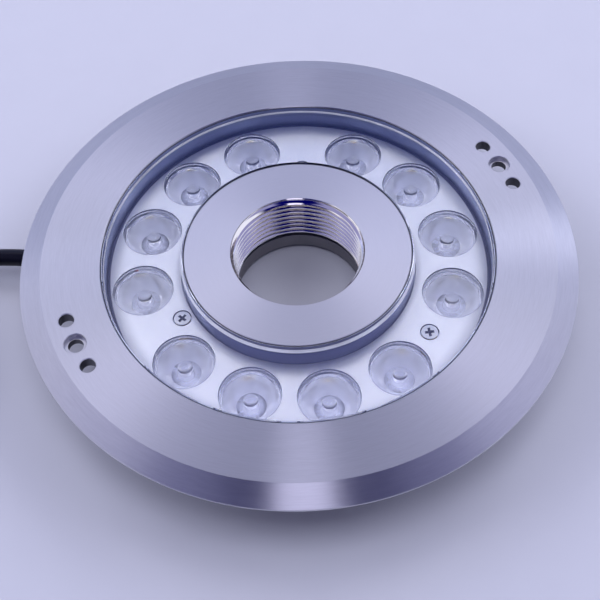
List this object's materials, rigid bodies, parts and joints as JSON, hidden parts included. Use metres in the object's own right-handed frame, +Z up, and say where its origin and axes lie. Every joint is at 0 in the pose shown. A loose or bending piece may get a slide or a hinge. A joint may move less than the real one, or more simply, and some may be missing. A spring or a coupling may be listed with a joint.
{
  "type": "underwater pond light",
  "caption": "Flat round submersible fountain light: stainless flange, ring-shaped glass window over clear-lensed LEDs, and a central threaded hub for a nozzle pipe; low side cable.",
  "frame": {"origin": "centre of the underside, on the bore axis", "axes": "+Z up through the threaded bore; +X through the middle of one group of flange holes"},
  "size_m": [0.3321, 0.198, 0.028],
  "materials": {
    "stainless_flange": "satin, turned in fine concentric lines",
    "stainless_hub": "fine satin face, bright cut thread",
    "stainless_pan": "drawn sheet, satin",
    "weld_bead": "rippled weld with heat tint",
    "window_glass": "polished tempered glass",
    "gasket_silicone": "matt silicone",
    "sealant": "satin sealant",
    "plate_silver": "fine-grain silver",
    "lens_clear": "moulded clear acrylic",
    "led_emitter": "ceramic with silicone dome",
    "board_white": "white solder mask",
    "thermal_pad": "soft filled silicone",
    "screw_steel": "bright stainless",
    "standoff_brass": "turned",
    "component_black": "moulded",
    "component_tan": "ceramic",
    "lead_red": "insulated wire",
    "lead_black": "insulated wire",
    "gland_metal": "nickel plated, satin",
    "seal_rubber": "matt",
    "cable_jacket": "matt moulded rubber",
    "tie_black": "ribbed nylon",
    "connector_black": "moulded nylon",
    "connector_nut": "moulded nylon with grip grooves",
    "contact_brass": "bright",
    "connector_seal": "red silicone"
  },
  "bodies": {
    "light": {"face_ring": "stainless_flange", "housing_pan": "stainless_pan", "threaded_hub": "stainless_hub", "flange_weld": "weld_bead", "hub_weld": "weld_bead", "window_glass": "window_glass", "outer_gasket": "gasket_silicone", "inner_gasket": "gasket_silicone", "outer_sealant": "sealant", "inner_sealant": "sealant", "lens_plate": "plate_silver", "lens_01": "lens_clear", "lens_02": "lens_clear", "lens_03": "lens_clear", "lens_04": "lens_clear", "lens_05": "lens_clear", "lens_06": "lens_clear", "lens_07": "lens_clear", "lens_08": "lens_clear", "lens_09": "lens_clear", "lens_10": "lens_clear", "lens_11": "lens_clear", "lens_12": "lens_clear", "led_01": "led_emitter", "led_02": "led_emitter", "led_03": "led_emitter", "led_04": "led_emitter", "led_05": "led_emitter", "led_06": "led_emitter", "led_07": "led_emitter", "led_08": "led_emitter", "led_09": "led_emitter", "led_10": "led_emitter", "led_11": "led_emitter", "led_12": "led_emitter", "led_board": "board_white", "thermal_pad": "thermal_pad", "base_studs": "screw_steel", "plate_standoffs": "standoff_brass", "plate_screws": "screw_steel", "driver_chips": "component_black", "driver_inductors": "component_black", "driver_capacitors": "component_tan", "lead_positive": "lead_red", "lead_negative": "lead_black", "gland_body": "gland_metal", "gland_o_ring": "seal_rubber", "gland_locknut": "gland_metal", "gland_seal": "seal_rubber", "gland_dome_nut": "gland_metal", "cable_inner": "cable_jacket", "cable": "cable_jacket", "cable_coil": "cable_jacket", "cable_tail": "cable_jacket", "coil_tie": "tie_black", "connector_body": "connector_black", "connector_contacts": "contact_brass", "connector_seal": "connector_seal", "connector_back_nut": "connector_black"},
    "coupling_nut": {"connector_coupling_nut": "connector_nut"}
  },
  "joints": [
    {"name": "coupling_nut_turn", "type": "hinge", "parent": "light", "child": "coupling_nut", "pos_m": [-0.22006, -0.00176, 0.009], "axis": [-0.4163, -0.9092, 0], "continuous": true}
  ]
}
